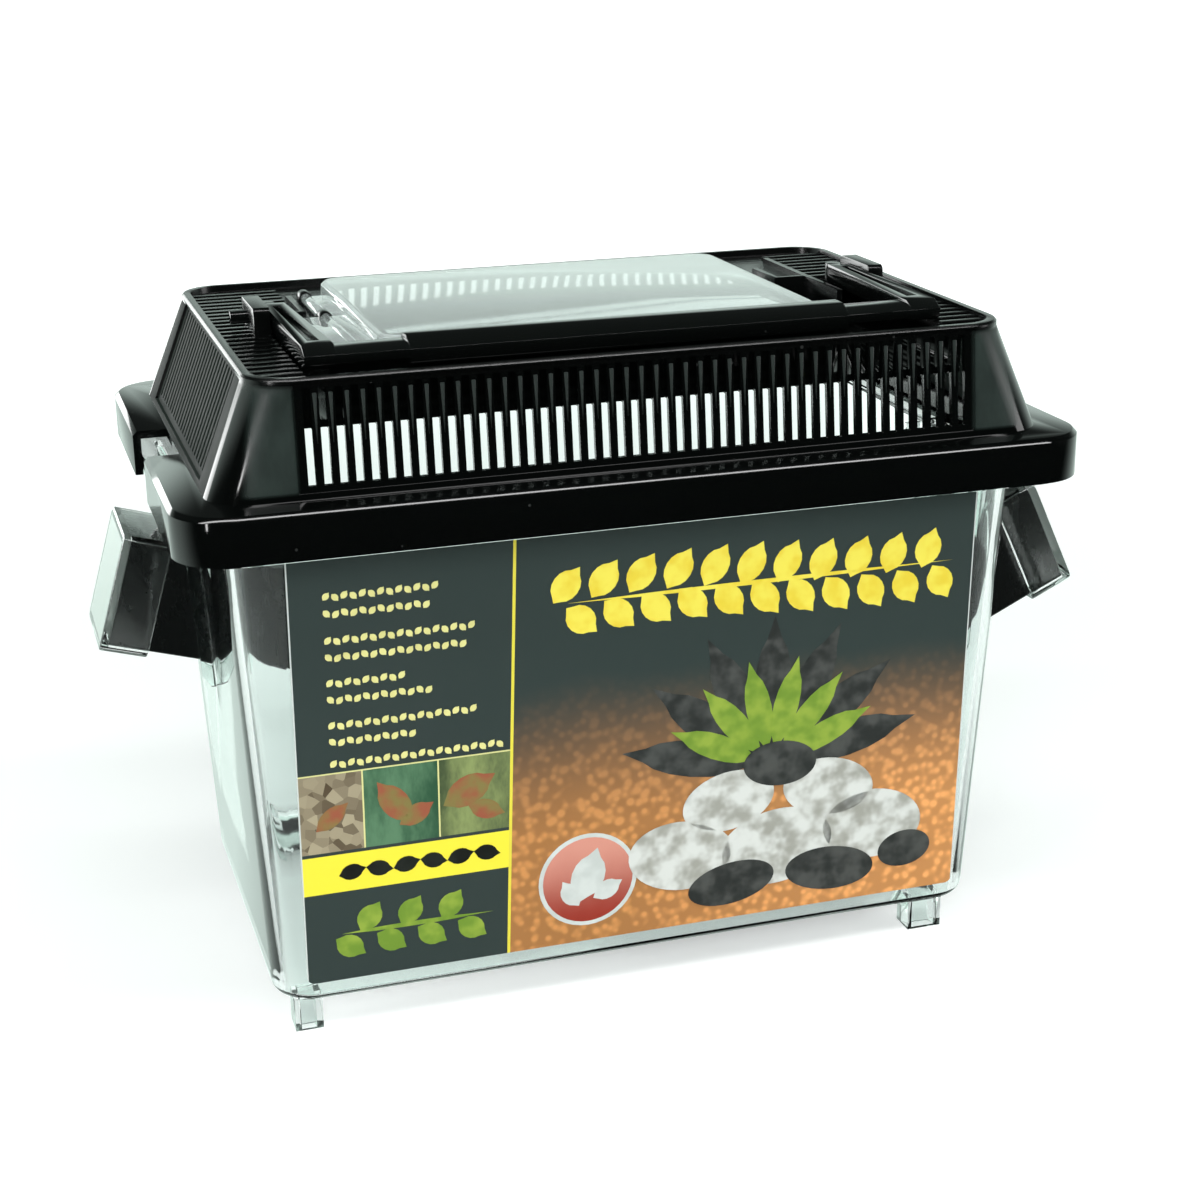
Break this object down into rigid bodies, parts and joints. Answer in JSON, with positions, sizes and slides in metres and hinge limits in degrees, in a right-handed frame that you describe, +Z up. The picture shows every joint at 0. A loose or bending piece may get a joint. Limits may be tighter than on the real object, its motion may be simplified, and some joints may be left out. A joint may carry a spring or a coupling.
{
  "type": "insect keeper box",
  "caption": "Clear tapered keeper box with a slotted black lid, domed hatch, folding handle and slanting capped dispensing tubes that slide out of its ends.",
  "frame": {"origin": "on the ground under the middle of the tank, which is the middle of the overall footprint to within two millimetres", "axes": "+X along the box towards the end whose tube lies in the front half, +Y from the labelled front to the back, +Z up"},
  "size_m": [0.2044, 0.1156, 0.1382],
  "materials": {
    "clear_plastic": "clear, polished",
    "black_plastic": "glossy black",
    "hatch_plastic": "clear, polished",
    "handle_plastic": "glossy black",
    "tube_plastic": "satin black",
    "cap_plastic": "clear, slightly frosted",
    "label_film": "printed card, satin",
    "tray_plastic": "black"
  },
  "bodies": {
    "tank": {"tank": "clear_plastic", "label": "label_film", "feeding_tray": "tray_plastic"},
    "lid": {"lid": "black_plastic"},
    "hatch": {"hatch": "hatch_plastic"},
    "handle": {"handle": "handle_plastic"},
    "tube_left": {"tube_left": "tube_plastic"},
    "tube_right": {"tube_right": "tube_plastic"},
    "cap_left": {"tube_cap_left": "cap_plastic"},
    "cap_right": {"tube_cap_right": "cap_plastic"}
  },
  "joints": [
    {"name": "lid_lift", "type": "slide", "parent": "tank", "child": "lid", "axis": [0, 0, 1], "range_m": [0, 0.06]},
    {"name": "hatch_hinge", "type": "hinge", "parent": "lid", "child": "hatch", "pos_m": [-0.051, -0.00275, 0.1337], "axis": [0, 1, 0], "range_deg": [-90, 0]},
    {"name": "handle_hinge", "type": "hinge", "parent": "lid", "child": "handle", "pos_m": [0, 0.004, 0.1348], "axis": [-1, 0, 0], "range_deg": [0, 90]},
    {"name": "tube_left_slide", "type": "slide", "parent": "tank", "child": "tube_left", "axis": [-0.9588, 0, 0.284], "range_m": [0, 0.135]},
    {"name": "tube_right_slide", "type": "slide", "parent": "tank", "child": "tube_right", "axis": [0.9063, 0, 0.4226], "range_m": [0, 0.135]},
    {"name": "cap_left_slide", "type": "slide", "parent": "tube_left", "child": "cap_left", "axis": [-0.9588, 0, 0.284], "range_m": [0, 0.02]},
    {"name": "cap_right_slide", "type": "slide", "parent": "tube_right", "child": "cap_right", "axis": [0.9063, 0, 0.4226], "range_m": [0, 0.02]}
  ]
}
